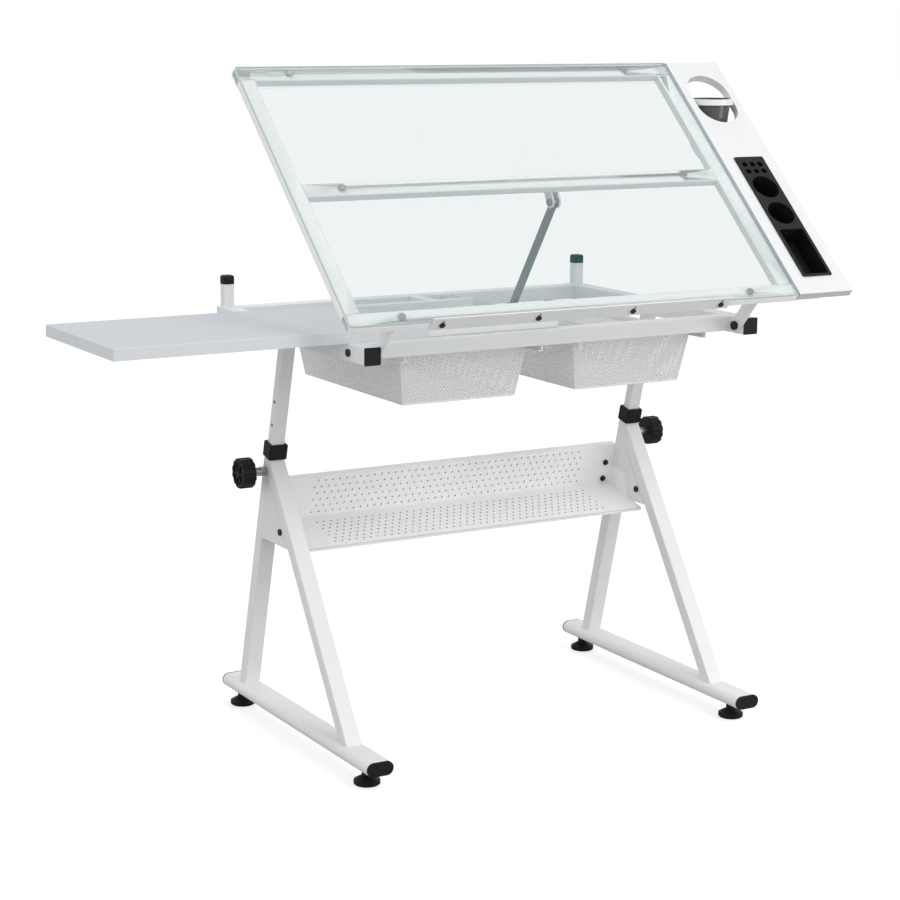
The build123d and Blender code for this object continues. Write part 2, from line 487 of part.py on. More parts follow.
for label, (px, py, along, length) in frame_rails.items():
    across = TOP.y_dir if along[0] else TOP.x_dir
    start = Plane(origin=TOP.from_local_coords((px, py, -FRAME_DEPTH)), x_dir=across, z_dir=along)
    tube(label, start, FRAME_TUBE, FRAME_HEIGHT, FRAME_WALL, length, bores=[screw_bore] if along[0] else [])

straps = []
for _, sign in SIDES:
    low_x = RACK_INNER - FACE_GAP - STRAP if sign > 0 else -RACK_INNER + FACE_GAP
    with BuildPart() as strap:
        with BuildSketch(slope_side(low_x)):
            with Locations((PIVOT_SLOPE, -(UNDERSIDE + PIVOT_DEPTH) / 2)):
                Rectangle(26.0, PIVOT_DEPTH - UNDERSIDE)
            with Locations((PIVOT_SLOPE, -PIVOT_DEPTH)):
                Circle(13.0)
                Circle(PIVOT_BOLT + BORE_CLEARANCE, mode=Mode.SUBTRACT)
        extrude(amount=STRAP)
    straps.append(strap.part)
save_group(straps, "hinge_straps")

# ---------------------------------------------------------------- stay: bracket, pin and sliding strut
STAY_PIN, EAR, STAY_FOOT, STAY_BOSS, STAY_BOSS_AT = 3.0, 3.0, 6.0, 8.5, 20.0
reach_slope, reach_deep = STAY_SLOPE - PIVOT_SLOPE, PIVOT_DEPTH - STAY_DROP
STAY_LENGTH = hypot(reach_slope, reach_deep)
rise = radians(TILT) + atan(reach_deep / reach_slope)
stay_head = (STAY_LENGTH * cos(rise), STAY_LENGTH * sin(rise))  # from the pivot, across and up
stay_foot = (2 * stay_head[0], 0.0)
ears = (STAY_X - STAY_WIDE / 2 - FACE_GAP - EAR, STAY_X + STAY_WIDE / 2 + FACE_GAP)
with BuildPart() as stay_bracket:
    for start in ears:
        with BuildSketch(slope_side(start)):
            with BuildLine():
                Polyline((MIDDLE_RAIL - 15, -UNDERSIDE), (MIDDLE_RAIL + 15, -UNDERSIDE),
                         (MIDDLE_RAIL + 8, -STAY_DROP), (STAY_SLOPE + 6, -STAY_DROP - 10),
                         (STAY_SLOPE - 6, -STAY_DROP - 10), (STAY_SLOPE - 11, -STAY_DROP),
                         (STAY_SLOPE - 6, -STAY_DROP + 9), close=True)
            make_face()
            with Locations((STAY_SLOPE, -STAY_DROP)):
                Circle(STAY_PIN + BORE_CLEARANCE, mode=Mode.SUBTRACT)
        extrude(amount=EAR)
    with BuildSketch(slope_side(ears[0] + EAR)):
        with Locations((MIDDLE_RAIL, -UNDERSIDE - 1.5)):
            Rectangle(24.0, 3.0)
    extrude(amount=STAY_WIDE + 2 * FACE_GAP)
save(stay_bracket, "stay_bracket")

head_place = side_plane(STAY_X - STAY_WIDE / 2).from_local_coords((*stay_head, 0))
head_plane = Plane(origin=head_place, x_dir=(0, 1, 0), z_dir=(1, 0, 0))
save_group([turned(head_plane, [(STAY_PIN, -EAR - FACE_GAP - 1.5, STAY_WIDE + EAR + FACE_GAP + 1.5),
                                (6.5, -EAR - FACE_GAP - 4.0, -EAR - FACE_GAP - 0.2)])], "stay_pin")

boss_share = STAY_BOSS_AT / STAY_LENGTH
boss_place = (stay_foot[0] - (stay_foot[0] - stay_head[0]) * boss_share, stay_head[1] * boss_share)
with BuildPart() as stay:
    strut_turn = degrees(asin(stay_head[1] / STAY_LENGTH))
    with BuildSketch(side_plane(STAY_X - STAY_WIDE / 2)):
        with Locations(((stay_head[0] + stay_foot[0]) / 2, stay_head[1] / 2)):
            SlotCenterToCenter(STAY_LENGTH, STAY_THICK, rotation=-strut_turn)
        with Locations(stay_head):
            Circle(STAY_PIN + BORE_CLEARANCE, mode=Mode.SUBTRACT)
    extrude(amount=STAY_WIDE)
    with BuildSketch(side_plane(STAY_X - TRACK_WIDE / 2 + TRACK_WALL + FACE_GAP)):
        with Locations(stay_foot):
            Circle(STAY_FOOT)
        with Locations(boss_place):
            Circle(STAY_BOSS)
    extrude(amount=TRACK_WIDE - 2 * TRACK_WALL - 2 * FACE_GAP)
save(stay, "stay")

# ---------------------------------------------------------------- side panel, organizer and swinging cup
CUP_PIN = 3.0
with BuildPart() as side_panel:
    with BuildSketch(TOP.offset(-PANEL_THICK)):
        with Locations((PANEL_X, TOP_DEPTH / 2)):
            Rectangle(PANEL_WIDTH, TOP_DEPTH)
        with Locations((PANEL_X, PANEL_TOP_CUT)):
            Rectangle(TRAY_WIDTH + 2 * FACE_GAP, TRAY_END - TRAY_START + 2 * FACE_GAP, mode=Mode.SUBTRACT)
        with Locations((PANEL_X, CUP_SLOPE)):
            SlotOverall(CUP_HOLE_LENGTH, CUP_HOLE, rotation=90, mode=Mode.SUBTRACT)
    extrude(amount=PANEL_THICK)
    chamfer(side_panel.faces().sort_by(Axis(TOP.origin, TOP.z_dir))[-1].outer_wire().edges(), 1.0)
    with BuildSketch(slope_side(PANEL_X - CUP_HOLE / 2 - 6.0)):
        with Locations((CUP_SLOPE, -PANEL_THICK / 2)):
            Circle(CUP_PIN + BORE_CLEARANCE)
    extrude(amount=CUP_HOLE + 12.0, mode=Mode.SUBTRACT)
save(side_panel, "side_panel")

BRACKET_THICK = 3.0
BRACKET_INSET = 30.0
with BuildPart() as panel_brackets:
    for row in (19.0, 379.0):
        with BuildSketch(TOP.offset(-UNDERSIDE - BRACKET_THICK)):
            with Locations((PANEL_X - PANEL_WIDTH / 2 + BRACKET_INSET / 2, row)):
                Rectangle(PANEL_WIDTH - BRACKET_INSET, 28.0)
        extrude(amount=BRACKET_THICK)
        with BuildSketch(TOP.offset(-UNDERSIDE)):
            with Locations((PANEL_X - PANEL_WIDTH / 4 - 1.0, row)):
                Rectangle(PANEL_WIDTH / 2 - 4.0, 28.0)
        extrude(amount=UNDERSIDE - PANEL_THICK)
save(panel_brackets, "panel_brackets")

POCKET_FLOOR = TRAY_DEEP - 3.0
with BuildPart() as organizer:
    with BuildSketch(TOP.offset(-TRAY_DEEP)):
        with Locations((PANEL_X, PANEL_TOP_CUT)):
            RectangleRounded(TRAY_WIDTH, TRAY_END - TRAY_START, 2.0)
    extrude(amount=TRAY_DEEP + FACE_GAP)
    with BuildSketch(TOP.offset(FACE_GAP)):
        with Locations((PANEL_X, PANEL_TOP_CUT)):
            RectangleRounded(TRAY_WIDTH + 6.0, TRAY_END - TRAY_START + 6.0, 3.0)
    extrude(amount=2.0)
    with BuildSketch(TOP.offset(2.0 + FACE_GAP)):
        with Locations((PANEL_X, 97.0)):
            RectangleRounded(TRAY_WIDTH - 6.0, 108.0, 4.0)
        with Locations((PANEL_X, 191.0), (PANEL_X, 257.0)):
            Circle(WELL_RADIUS)
    extrude(amount=-POCKET_FLOOR, mode=Mode.SUBTRACT)
    with BuildSketch(TOP.offset(2.0 + FACE_GAP)):
        with Locations((PANEL_X, 306.0)):
            with GridLocations(PEN_PITCH, PEN_PITCH, 3, 2):
                Circle(PEN_RADIUS)
    extrude(amount=-POCKET_FLOOR, mode=Mode.SUBTRACT)
save(organizer, "organizer")

cup_pivot = TOP.from_local_coords((PANEL_X, CUP_SLOPE, -PANEL_THICK / 2))
cup_level = Plane(origin=cup_pivot, x_dir=(1, 0, 0), z_dir=(0, 0, 1))
with BuildPart() as cup_ring:
    with BuildSketch(cup_level.offset(-CUP_RING / 2)):
        Circle(CUP_RADIUS + 1.5)
        Circle(CUP_RADIUS - 3.0, mode=Mode.SUBTRACT)
    extrude(amount=CUP_RING)
    for side in (-1, 1):
        with BuildSketch(Plane(origin=cup_pivot, x_dir=(0, 1, 0), z_dir=(side, 0, 0)).offset(CUP_RADIUS)):
            Circle(CUP_PIN)
        extrude(amount=CUP_HOLE / 2 + 5.0 - CUP_RADIUS)
save(cup_ring, "cup_ring")
with BuildPart() as cup_body:
    cup_rim = CUP_RADIUS - 3.0
    with BuildSketch(Plane(origin=cup_pivot, x_dir=(1, 0, 0), z_dir=(0, -1, 0))):
        with BuildLine():
            Polyline((0, -CUP_DEPTH), (cup_rim - 6, -CUP_DEPTH), (cup_rim - 1, -CUP_RING / 2),
                     (cup_rim, -CUP_RING / 2), (cup_rim, CUP_RING / 2 + 1),
                     (cup_rim - 2, CUP_RING / 2 + 1), (cup_rim - 2, -CUP_RING / 2),
                     (cup_rim - 8, -CUP_DEPTH + CUP_WALL), (0, -CUP_DEPTH + CUP_WALL), close=True)
        make_face()
    revolve(axis=Axis(cup_pivot, (0, 0, 1)))
save(cup_body, "cup_body")

# ---------------------------------------------------------------- ledge along the front edge
LEDGE_SHANK, LEDGE_HEAD = 2.5, 5.0
with BuildPart() as ledge:
    with BuildSketch(slope_side(-LEDGE_HALF)):
        with Locations((-LEDGE_GAP - LEDGE_THICK / 2, (LEDGE_LOW + LEDGE_TOP) / 2)):
            Rectangle(LEDGE_THICK, LEDGE_TOP - LEDGE_LOW)
    extrude(amount=2 * LEDGE_HALF)
    ledge_face = Plane(origin=TOP.from_local_coords((0, -LEDGE_GAP, 0)), x_dir=(1, 0, 0), z_dir=-TOP.y_dir)
    with BuildSketch(ledge_face):
        with Locations(*[(bx, LEDGE_BOLT_AT + LEDGE_DROP / 2) for bx in LEDGE_BOLTS]):
            SlotOverall(LEDGE_DROP + 2 * LEDGE_SHANK + 1.0, 2 * LEDGE_SHANK + 1.0, rotation=90)
    extrude(amount=LEDGE_THICK, mode=Mode.SUBTRACT)
save(ledge, "ledge")
bolt_face = Plane(origin=TOP.origin, x_dir=(1, 0, 0), z_dir=-TOP.y_dir)
ledge_out = 2 * LEDGE_GAP + LEDGE_THICK
save_group([turned(Plane(origin=bolt_face.from_local_coords((bx, LEDGE_BOLT_AT, 0)), z_dir=bolt_face.z_dir),
                   [(LEDGE_SHANK, 0.0, ledge_out), (LEDGE_HEAD, ledge_out, ledge_out + 2.5)])
            for bx in LEDGE_BOLTS], "ledge_bolts")
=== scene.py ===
"""Looks of a drafting table: coated steel stand, tilting glass top, mesh baskets, perforated shelf."""

import json
from math import cos, pi, radians, sin

import bmesh
import bpy
from mathutils import Matrix, Vector


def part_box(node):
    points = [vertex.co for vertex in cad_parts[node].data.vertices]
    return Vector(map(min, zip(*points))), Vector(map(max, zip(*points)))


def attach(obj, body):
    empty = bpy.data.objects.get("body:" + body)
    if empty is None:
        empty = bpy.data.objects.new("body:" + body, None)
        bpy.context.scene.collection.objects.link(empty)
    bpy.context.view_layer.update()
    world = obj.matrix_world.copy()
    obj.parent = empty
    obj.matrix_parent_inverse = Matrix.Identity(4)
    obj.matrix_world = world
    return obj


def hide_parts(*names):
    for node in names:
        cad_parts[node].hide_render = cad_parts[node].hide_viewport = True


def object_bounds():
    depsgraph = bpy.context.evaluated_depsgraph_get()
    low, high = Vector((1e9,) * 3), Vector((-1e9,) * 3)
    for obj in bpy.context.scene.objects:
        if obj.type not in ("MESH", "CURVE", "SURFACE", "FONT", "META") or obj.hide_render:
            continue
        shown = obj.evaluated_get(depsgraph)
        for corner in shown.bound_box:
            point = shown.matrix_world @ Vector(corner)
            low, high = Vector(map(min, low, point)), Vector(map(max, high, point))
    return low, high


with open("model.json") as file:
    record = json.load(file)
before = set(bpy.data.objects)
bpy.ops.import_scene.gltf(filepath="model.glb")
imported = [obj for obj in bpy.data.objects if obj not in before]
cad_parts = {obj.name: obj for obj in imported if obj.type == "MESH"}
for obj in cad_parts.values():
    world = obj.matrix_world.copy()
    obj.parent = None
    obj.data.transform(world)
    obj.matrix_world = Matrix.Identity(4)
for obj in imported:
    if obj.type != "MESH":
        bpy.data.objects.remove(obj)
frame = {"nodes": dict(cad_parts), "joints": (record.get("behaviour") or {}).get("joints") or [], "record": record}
cad_low, cad_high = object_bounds()
MM = 0.001
joints = {joint["name"]: joint for joint in frame["joints"]}
pivot = Vector(joints["tilt"]["pos_m"])
glass_normal = Vector(joints["organizer_lift"]["axis"]).normalized()
leg_up = Vector(joints["height_slide"]["axis"]).normalized()
leg_back = leg_up.cross(Vector((1, 0, 0))).normalized()


# ---------------------------------------------------------------- camera, lights and floor
# Metres, degrees and watts; the camera's place is from the tilt joint.
CAMERA_FROM_PIVOT = Vector((-2.0465, -3.1959, 0.5557))
CAMERA_YAW, CAMERA_DOWN, CAMERA_ROLL = 29.68, 11.21, -0.27
CAMERA_LENS, SENSOR_WIDTH = 88.93, 36.0
CLIP_NEAR, CLIP_FAR = 0.05, 100.0
FLOOR_SIZE, FLOOR_DROP = 60.0, 0.0005
FLOOR_COLOR, FLOOR_GLOW, FLOOR_ROUGHNESS, FLOOR_GLOSS = (0.48, 0.48, 0.48), 0.66, 0.9, 0.1
SKY_COLOR, SKY_STRENGTH = (0.985, 0.99, 1.0), 0.80
BACKDROP_COLOR, BACKDROP_STRENGTH = (1.0, 1.0, 1.0), 1.0
LIGHT_TARGET = (0.0, 0.0, 0.7)
LIGHTS = (  # name, place, size, power
    ("key", (1.2, -3.6, 3.7), 2.0, 62.0),
    ("top", (0.6, 1.2, 3.8), 2.6, 14.0),
    ("side", (-4.2, -1.2, 1.6), 2.4, 22.0),
    ("low", (2.3, -2.3, 0.7), 1.4, 13.0),
)


def make_camera():
    data = bpy.data.cameras.new("camera")
    data.lens, data.sensor_width = CAMERA_LENS, SENSOR_WIDTH
    data.clip_start, data.clip_end = CLIP_NEAR, CLIP_FAR
    camera = bpy.data.objects.new("camera", data)
    bpy.context.scene.collection.objects.link(camera)
    camera.location = pivot + CAMERA_FROM_PIVOT
    turn = Matrix.Rotation(radians(-CAMERA_YAW), 3, "Z")
    look = turn @ Matrix.Rotation(radians(90 - CAMERA_DOWN), 3, "X")
    roll = Matrix.Rotation(radians(-CAMERA_ROLL), 3, "Z")
    camera.rotation_mode = "QUATERNION"
    camera.rotation_quaternion = (look @ roll).to_quaternion()
    bpy.context.scene.camera = camera


def area_light(name, place, size, power):
    data = bpy.data.lights.new(name, "AREA")
    data.shape, data.size, data.energy = "SQUARE", size, power
    light = bpy.data.objects.new(name, data)
    bpy.context.scene.collection.objects.link(light)
    light.location = place
    light.rotation_mode = "QUATERNION"
    light.rotation_quaternion = (Vector(LIGHT_TARGET) - Vector(place)).to_track_quat("-Z", "Y")


def make_world():
    """Soft even sky; the camera itself sees a plain white backdrop behind the object."""
    world = bpy.data.worlds.new("studio")
    bpy.context.scene.world = world
    world.use_nodes = True
    tree = world.node_tree
    soft = tree.nodes["Background"]
    soft.inputs["Color"].default_value = (*SKY_COLOR, 1.0)
    soft.inputs["Strength"].default_value = SKY_STRENGTH
    backdrop = tree.nodes.new("ShaderNodeBackground")
    backdrop.inputs["Color"].default_value = (*BACKDROP_COLOR, 1.0)
    backdrop.inputs["Strength"].default_value = BACKDROP_STRENGTH
    path, seen = tree.nodes.new("ShaderNodeLightPath"), tree.nodes.new("ShaderNodeMixShader")
    tree.links.new(path.outputs["Is Camera Ray"], seen.inputs["Fac"])
    tree.links.new(soft.outputs["Background"], seen.inputs[1])
    tree.links.new(backdrop.outputs["Background"], seen.inputs[2])
    tree.links.new(seen.outputs["Shader"], tree.nodes["World Output"].inputs["Surface"])
    bpy.context.scene.view_settings.view_transform = "Standard"


def make_floor():
    """White floor just under the glides; its glow is seen by the camera only and lights nothing."""
    floor_mesh = bpy.data.meshes.new("floor")
    half = FLOOR_SIZE / 2
    corners = [(-half, -half, 0.0), (half, -half, 0.0), (half, half, 0.0), (-half, half, 0.0)]
    floor_mesh.from_pydata(corners, [], [(0, 1, 2, 3)])
    floor = bpy.data.objects.new("floor", floor_mesh)
    bpy.context.scene.collection.objects.link(floor)
    floor.location.z = cad_low.z - FLOOR_DROP
    material, shader, add, link = new_material("floor_white", FLOOR_COLOR, FLOOR_ROUGHNESS)
    shader.inputs["Emission Color"].default_value = (1.0, 1.0, 1.0, 1.0)
    lit = add("ShaderNodeMapRange", To_Max=FLOOR_GLOW)
    link(add("ShaderNodeLightPath").outputs["Is Camera Ray"], lit.inputs["Value"])
    link(lit.outputs["Result"], shader.inputs["Emission Strength"])
    shader.inputs["Specular IOR Level"].default_value = FLOOR_GLOSS
    floor_mesh.materials.append(material)


# ---------------------------------------------------------------- materials
DRIFT_SCALE, DRIFT_RAMP = 2.5, (0.32, 0.68)
GLASS_TINT, GLASS_ALPHA, GLASS_ROUGHNESS, GLASS_IOR = (0.05, 0.26, 0.25), 0.11, 0.03, 1.50
STREAKS = (60.0, 900.0, 900.0)


def new_material(name, color, roughness=0.5, metallic=0.0, alpha=1.0):
    """A Principled material; returns it with its shader and short calls to add and link nodes."""
    material = bpy.data.materials.new(name)
    material.use_nodes = True
    tree = material.node_tree
    shader = tree.nodes["Principled BSDF"]
    shader.inputs["Base Color"].default_value = (*color, 1.0)
    shader.inputs["Roughness"].default_value = roughness
    shader.inputs["Metallic"].default_value = metallic
    shader.inputs["Alpha"].default_value = alpha

    def add(kind, **inputs):
        node = tree.nodes.new(kind)
        for key, value in inputs.items():
            node.inputs[key.replace("_", " ")].default_value = value
        return node

    return material, shader, add, tree.links.new


def roughness_from(noise, shader, add, link, noise_low, noise_high, low, high):
    """Roughness running from low to high as the noise does."""
    rough = add("ShaderNodeMapRange", From_Min=noise_low, From_Max=noise_high, To_Min=low, To_Max=high)
    link(noise.outputs["Fac"], rough.inputs["Value"])
    link(rough.outputs["Result"], shader.inputs["Roughness"])


def bump_from(noise, shader, add, link, strength, distance):
    """Bump with the noise as its height."""
    bump = add("ShaderNodeBump", Strength=strength, Distance=distance)
    link(noise.outputs["Fac"], bump.inputs["Height"])
    link(bump.outputs["Normal"], shader.inputs["Normal"])


def speckled(name, color, dark, roughness, grain, depth, gloss):
    """Coated or moulded surface: slow colour drift, fine grain in bump and roughness."""
    material, shader, add, link = new_material(name, color, roughness)
    shader.inputs["Specular IOR Level"].default_value = gloss
    where = add("ShaderNodeTexCoord")
    drift = add("ShaderNodeTexNoise", Scale=DRIFT_SCALE, Detail=3.0)
    link(where.outputs["Object"], drift.inputs["Vector"])
    fine = add("ShaderNodeTexNoise", Scale=grain, Detail=2.0, Roughness=0.6)
    link(where.outputs["Object"], fine.inputs["Vector"])
    colors = add("ShaderNodeValToRGB")
    for element, position, tone in zip(colors.color_ramp.elements, DRIFT_RAMP, (dark, color)):
        element.position, element.color = position, (*tone, 1.0)
    link(drift.outputs["Fac"], colors.inputs["Fac"])
    link(colors.outputs["Color"], shader.inputs["Base Color"])
    roughness_from(fine, shader, add, link, 0.3, 0.7, roughness - 0.07, roughness + 0.07)
    bump_from(fine, shader, add, link, depth, 0.4 * MM)
    return material


def brushed(name, color, roughness):
    """Zinc-plated steel with fine streaks."""
    material, shader, add, link = new_material(name, color, roughness, metallic=1.0)
    where = add("ShaderNodeTexCoord")
    stretch = add("ShaderNodeMapping", Scale=STREAKS)
    link(where.outputs["Object"], stretch.inputs["Vector"])
    streaks = add("ShaderNodeTexNoise", Scale=1.0, Detail=3.0)
    link(stretch.outputs["Vector"], streaks.inputs["Vector"])
    roughness_from(streaks, shader, add, link, 0.3, 0.7, roughness - 0.1, roughness + 0.1)
    bump_from(streaks, shader, add, link, 0.2, 0.2 * MM)
    return material


def glass_face():
    """Clear float glass: pale green tint, sharp reflection, faint wiping marks in its roughness."""
    material, shader, add, link = new_material("glass_face", GLASS_TINT, GLASS_ROUGHNESS, alpha=GLASS_ALPHA)
    shader.inputs["IOR"].default_value = GLASS_IOR
    where = add("ShaderNodeTexCoord")
    marks = add("ShaderNodeTexNoise", Scale=9.0, Detail=6.0)
    link(where.outputs["Object"], marks.inputs["Vector"])
    roughness_from(marks, shader, add, link, 0.35, 0.75, 0.02, 0.07)
    return material


FINISHES = {  # colour, its darker drift, roughness, grain scale, grain depth, gloss
    "white_steel": ((0.835, 0.84, 0.84), (0.80, 0.805, 0.805), 0.42, 900.0, 0.22, 0.5),
    # rails under the glass: a lighter copy of white_steel, painted light against the glass's shadow on them
    "rail_white_painted_light": ((0.96, 0.965, 0.955), (0.94, 0.945, 0.935), 0.42, 900.0, 0.22, 0.5),
    "shelf_steel": ((0.95, 0.95, 0.94), (0.93, 0.93, 0.92), 0.45, 900.0, 0.2, 0.5),
    "hole_shade": ((0.24, 0.24, 0.24), (0.22, 0.22, 0.22), 0.5, 300.0, 0.05, 0.5),
    "mesh_steel": ((0.80, 0.80, 0.79), (0.77, 0.77, 0.76), 0.45, 900.0, 0.1, 0.5),
    # side board: its up-facing top in a darker copy of the board colour, painted shade; its edges keep the lighter
    # copy below
    "side_board": ((0.57, 0.605, 0.64), (0.555, 0.59, 0.625), 0.4, 500.0, 0.12, 0.5),
    "board_edge_lit_copy": ((0.70, 0.73, 0.75), (0.68, 0.71, 0.73), 0.4, 500.0, 0.12, 0.5),
    "white_board": ((0.79, 0.797, 0.805), (0.775, 0.782, 0.79), 0.35, 500.0, 0.1, 0.5),
    # side panel's edges: the panel's white darkened to grey, painted shade
    "panel_edge_painted_shade": ((0.60, 0.605, 0.61), (0.58, 0.585, 0.59), 0.4, 500.0, 0.1, 0.5),
    "glass_edge": ((0.62, 0.72, 0.71), (0.56, 0.67, 0.66), 0.12, 300.0, 0.02, 0.5),
    "black_plastic": ((0.009, 0.009, 0.010), (0.005, 0.005, 0.006), 0.48, 1400.0, 0.5, 0.22),
    "organizer_black": ((0.011, 0.012, 0.013), (0.007, 0.008, 0.009), 0.45, 1400.0, 0.4, 0.22),
    "black_steel": ((0.008, 0.008, 0.008), (0.005, 0.005, 0.005), 0.38, 700.0, 0.2, 0.3),
    "smoked_plastic": ((0.10, 0.10, 0.105), (0.07, 0.07, 0.075), 0.16, 300.0, 0.03, 0.5),
    "white_plastic": ((0.84, 0.84, 0.84), (0.82, 0.82, 0.82), 0.3, 900.0, 0.1, 0.5),
}
materials = {name: speckled(name, *finish) for name, finish in FINISHES.items()}
materials["zinc"] = brushed("zinc", (0.42, 0.42, 0.41), 0.34)
materials["glass"] = glass_face()
RAILS = ("frame_front", "frame_rear", "frame_middle", "frame_left", "frame_right")
FLAT_EDGE_AREA = 0.0005


def finish_cad_nodes():
    """Gives every CAD node its slot's material, and the rails under the glass a lighter copy of the white steel,
    painted light that makes up for the glass's shadow on them.
    """
    slots = {row["node"]: row["material_slot"] for row in frame["record"]["subparts"]}
    for name, obj in frame["nodes"].items():
        obj.data.materials.clear()
        obj.data.materials.append(materials[slots[name]])
    for name in RAILS:
        frame["nodes"][name].data.materials[0] = materials["rail_white_painted_light"]


def edged_copy(node, body, edge_material, is_edge):
    """Crisply shaded copy of a flat CAD panel, standing for it, whose edge faces get a material of their own: the
    glass's green edge, grey painted shade on the side panel's edges, and on the side board a lighter copy beside
    the painted shade of its top.
    """
    mesh = frame["nodes"][node].data.copy()
    mesh.name = f"{node}_edged"
    piece = bpy.data.objects.new(mesh.name, mesh)
    bpy.context.scene.collection.objects.link(piece)
    if "custom_normal" in mesh.attributes:
        mesh.attributes.remove(mesh.attributes["custom_normal"])
    mesh.materials.append(materials[edge_material])
    for face in mesh.polygons:
        face.use_smooth = False
        face.material_index = 1 if is_edge(face) else 0
    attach(piece, body)
    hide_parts(node)


def make_panels():
    """The glass, the side panel and the side board, each with its edges in a material of their own; on the panel
    and the board that split is painted shade.
    """
    def off_glass(face):
        return abs(face.normal.dot(glass_normal)) < 0.9

    def long_edge(face):
        return off_glass(face) and face.area > FLAT_EDGE_AREA

    def off_level(face):
        return abs(face.normal.z) < 0.9

    edged_copy("glass_top", "top", "glass_edge", off_glass)
    edged_copy("side_panel", "top", "panel_edge_painted_shade", long_edge)
    edged_copy("side_board", "rack", "board_edge_lit_copy", off_level)


# ---------------------------------------------------------------- mesh helpers
SHARP_ANGLE, WIRE_SIDES = 35.0, 8


def new_piece(name, vertices, faces, material, body, slot):
    """A piece from vertices and faces, riding on a body."""
    mesh = bpy.data.meshes.new(name)
    mesh.from_pydata(vertices, [], faces)
    mesh.validate()
    mesh.materials.append(materials[material])
    piece = bpy.data.objects.new(name, mesh)
    bpy.context.scene.collection.objects.link(piece)
    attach(piece, body)
    return piece


def apply_modifiers(piece):
    """Swaps the piece's mesh for the one its modifiers make."""
    graph = bpy.context.evaluated_depsgraph_get()
    made = bpy.data.meshes.new_from_object(piece.evaluated_get(graph))
    piece.modifiers.clear()
    old, name = piece.data, piece.data.name
    piece.data = made
    bpy.data.meshes.remove(old)
    made.name = name


def joined(*parts):
    """Several (vertices, faces) pairs as one."""
    vertices, faces = [], []
    for more_vertices, more_faces in parts:
        base = len(vertices)
        vertices += more_vertices
        faces += [tuple(base + k for k in face) for face in more_faces]
    return vertices, faces


def weld(piece, reach):
    """Joins the vertices that neighbouring cells share and turns every face the same way."""
    work = bmesh.new()
    work.from_mesh(piece.data)
    bmesh.ops.remove_doubles(work, verts=work.verts, dist=reach)
    bmesh.ops.recalc_face_normals(work, faces=work.faces)
    work.to_mesh(piece.data)
    work.free()


def smooth(piece):
    """Smooth shading except across edges sharper than SHARP_ANGLE."""
    mesh = piece.data
    work = bmesh.new()
    work.from_mesh(mesh)
    bmesh.ops.recalc_face_normals(work, faces=work.faces)
    for face in work.faces:
        face.smooth = True
    for edge in work.edges:
        if len(edge.link_faces) == 2:
            edge.smooth = edge.calc_face_angle(0.0) < radians(SHARP_ANGLE)
    work.to_mesh(mesh)
    work.free()


def rounded_loop(centre, half_x, half_y, radius, z, count):
    """Points evenly spaced round a rounded rectangle, anticlockwise, from the middle of its +X side."""
    in_x, in_y, arc = half_x - radius, half_y - radius, radius * pi / 2
    runs = (  # length, then a straight's start and direction or an arc's centre and first angle
        (in_y, (half_x, 0.0), (0, 1)), (arc, (in_x, in_y), 0.0),
        (2 * in_x, (in_x, half_y), (-1, 0)), (arc, (-in_x, in_y), pi / 2),
        (2 * in_y, (-half_x, in_y), (0, -1)), (arc, (-in_x, -in_y), pi),
        (2 * in_x, (-in_x, -half_y), (1, 0)), (arc, (in_x, -in_y), 3 * pi / 2),
        (in_y, (half_x, -in_y), (0, 1)))
    total = 4 * in_x + 4 * in_y + 4 * arc
    points = []
    for k in range(count):
        ahead = total * k / count
        for length, (x, y), way in runs:
            if ahead <= length:
                break
            ahead -= length
        if length == arc:
            angle = way + ahead / radius
            x, y = x + radius * cos(angle), y + radius * sin(angle)
        else:
            x, y = x + way[0] * ahead, y + way[1] * ahead
        points.append(Vector((centre[0] + x, centre[1] + y, z)))
    return points


def swept_ring(loop, profile):
    """Closed loop of points swept with a profile of (outward, up) offsets."""
    vertices, faces = [], []
    count, sides = len(loop), len(profile)
    for k, point in enumerate(loop):
        along = (loop[(k + 1) % count] - loop[k - 1]).normalized()
        outward = along.cross(Vector((0, 0, 1))).normalized()
        for out, up in profile:
            vertices.append(point + outward * out + Vector((0, 0, up)))
    for k in range(count):
        for j in range(sides):
            a, b = k * sides + j, k * sides + (j + 1) % sides
            c, d = ((k + 1) % count) * sides + (j + 1) % sides, ((k + 1) % count) * sides + j
            faces.append((a, b, c, d))
    return vertices, faces


def rod(start, end, radius):
    """Round bar between two points."""
    along = (end - start).normalized()
    across = along.orthogonal().normalized()
    other = along.cross(across)
    vertices, sides = [], WIRE_SIDES
    for point in (start, end):
        for k in range(sides):
            angle = 2 * pi * k / sides
            vertices.append(point + (across * cos(angle) + other * sin(angle)) * radius)
    faces = [(k, (k + 1) % sides, sides + (k + 1) % sides, sides + k) for k in range(sides)]
    return vertices, faces + [tuple(range(sides))[::-1], tuple(range(sides, 2 * sides))]


# ---------------------------------------------------------------- baskets: expanded-metal tubs
# The rim overhangs the tub by BASKET_INSET, and the foot draws in by BASKET_TAPER on each side.
BASKET_INSET, BASKET_TAPER = 6 * MM, 15 * MM
BASKET_CORNER, BASKET_FOOT_CORNER, FLAT_CORNER_CUT = 7 * MM, 6 * MM, 2.4
MESH_CELL, MESH_SHEET, HOLE_SHARE = 3.5 * MM, 0.8 * MM, 0.55
NET_TUCK, NET_DROP, NET_LIFT, NET_WELD = 1 * MM, 3 * MM, 1.5 * MM, 0.05 * MM
RIM_POINTS = 160
RIM_PROFILE = (  # millimetres outward and up from the rim's loop
    (-1.0, 0.0), (-1.0, -5.7), (0.4, -5.7), (0.4, -1.6),
    (5.0, -1.6), (6.0, -2.2), (6.0, -0.8), (5.2, 0.0))
FOOT_WIRE, CORNER_WIRE, WIRE_LIFT, WIRE_DROP = 1.7 * MM, 1.4 * MM, 1.8 * MM, 4 * MM


